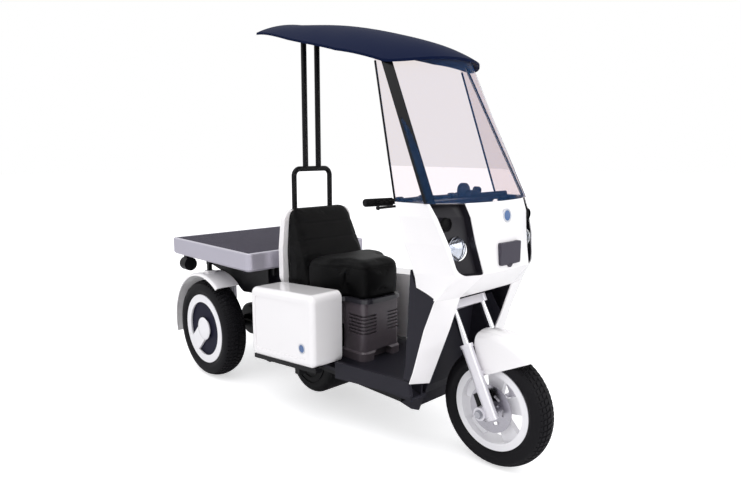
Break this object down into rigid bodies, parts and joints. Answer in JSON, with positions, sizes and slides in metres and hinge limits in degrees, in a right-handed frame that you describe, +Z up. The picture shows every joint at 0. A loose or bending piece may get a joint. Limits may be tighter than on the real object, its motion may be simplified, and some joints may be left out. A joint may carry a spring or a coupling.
{
  "type": "tilting three-wheeler with canopy and rear cargo deck",
  "caption": "Light delivery three-wheeler whose front body leans on a pivot ahead of the rear carriage, with a canopy, windscreen, side lockers and a flat rear deck.",
  "frame": {"origin": "on the ground under the middle of the vehicle's outline", "axes": "+X forward, +Y to the rider's left, +Z up"},
  "size_m": [2.1991, 0.8, 1.8325],
  "materials": {
    "white_panel": "white, glossy",
    "navy_roof": "dark blue, glossy",
    "dark_panel": "dark grey, satin",
    "seat_base_dark": "dark grey, satin",
    "lamp_dark": "black, glossy",
    "nose_dark": "dark blue grey, satin",
    "seat_cover": "black seat cover",
    "seat_shell": "white, glossy",
    "deck_metal": "brushed light grey",
    "deck_mat": "dark grey mat",
    "frame_black": "black paint",
    "drive_casing": "dark painted casting",
    "shock_steel": "steel spring and rod",
    "tyre": "black tyre",
    "white_wheel": "white paint",
    "wheel_disc_dark": "dark blue grey",
    "disc_steel": "machined steel",
    "fork_silver": "satin silver",
    "fork_chrome": "polished",
    "caliper_metal": "dark cast metal",
    "bar_black": "black paint",
    "grip_rubber": "black rubber",
    "clear_glass": "clear sheet",
    "headlamp_lens": "clear lens over a bright bowl",
    "tail_lamp": "red lens in a dark housing"
  },
  "bodies": {
    "rear_carriage": {"cargo_deck": "deck_metal", "deck_mat": "deck_mat", "rear_frame": "frame_black", "tilt_housing": "frame_black", "rear_axle": "frame_black", "rear_shocks": "shock_steel", "rear_fenders": "white_panel", "tail_lamps": "tail_lamp", "under_deck_case": "dark_panel"},
    "rear_wheel_right": {"rear_right_tyre": "tyre", "rear_right_rim": "white_wheel", "rear_right_wheel_disc": "wheel_disc_dark"},
    "rear_wheel_left": {"rear_left_tyre": "tyre", "rear_left_rim": "white_wheel", "rear_left_wheel_disc": "wheel_disc_dark"},
    "front_body": {"main_frame": "frame_black", "drive_unit": "drive_casing", "floorboard": "dark_panel", "front_guard": "dark_panel", "leg_shields": "white_panel", "leg_panel": "dark_panel", "cowl": "white_panel", "lamp_panels": "lamp_dark", "headlamps": "headlamp_lens", "nose_plate": "nose_dark", "roof": "navy_roof", "seat_hoop": "frame_black", "hoop_posts": "frame_black", "roof_poles": "frame_black", "pillars": "frame_black", "windscreen": "clear_glass", "dash": "dark_panel", "side_boxes": "white_panel", "seat_base": "seat_base_dark", "seat_cushion": "seat_cover", "seat_back": "seat_cover", "seat_shell": "seat_shell"},
    "steering": {"fork_yoke": "fork_silver", "fork_tubes": "fork_chrome", "fork_sliders": "fork_silver", "front_axle": "disc_steel", "brake_caliper": "caliper_metal", "front_fender": "white_panel", "handlebar": "bar_black", "grips": "grip_rubber", "brake_levers": "bar_black"},
    "front_wheel": {"front_tyre": "tyre", "front_rim": "white_wheel", "brake_disc": "disc_steel"}
  },
  "joints": [
    {"name": "body_tilt", "type": "hinge", "parent": "rear_carriage", "child": "front_body", "pos_m": [-0.4, 0, 0.28], "axis": [1, 0, 0], "range_deg": [-15, 15], "stiffness_Nm_per_rad": 2500},
    {"name": "steer", "type": "hinge", "parent": "front_body", "child": "steering", "pos_m": [0.666, 0, 0.62], "axis": [-0.454, 0, 0.891], "range_deg": [-25, 25]},
    {"name": "front_wheel_spin", "type": "hinge", "parent": "steering", "child": "front_wheel", "pos_m": [0.86, 0, 0.2375], "axis": [0, 1, 0], "continuous": true},
    {"name": "rear_wheel_right_spin", "type": "hinge", "parent": "rear_carriage", "child": "rear_wheel_right", "pos_m": [-0.793, -0.315, 0.2656], "axis": [0, 1, 0], "continuous": true},
    {"name": "rear_wheel_left_spin", "type": "hinge", "parent": "rear_carriage", "child": "rear_wheel_left", "pos_m": [-0.793, 0.315, 0.2656], "axis": [0, 1, 0], "continuous": true}
  ]
}
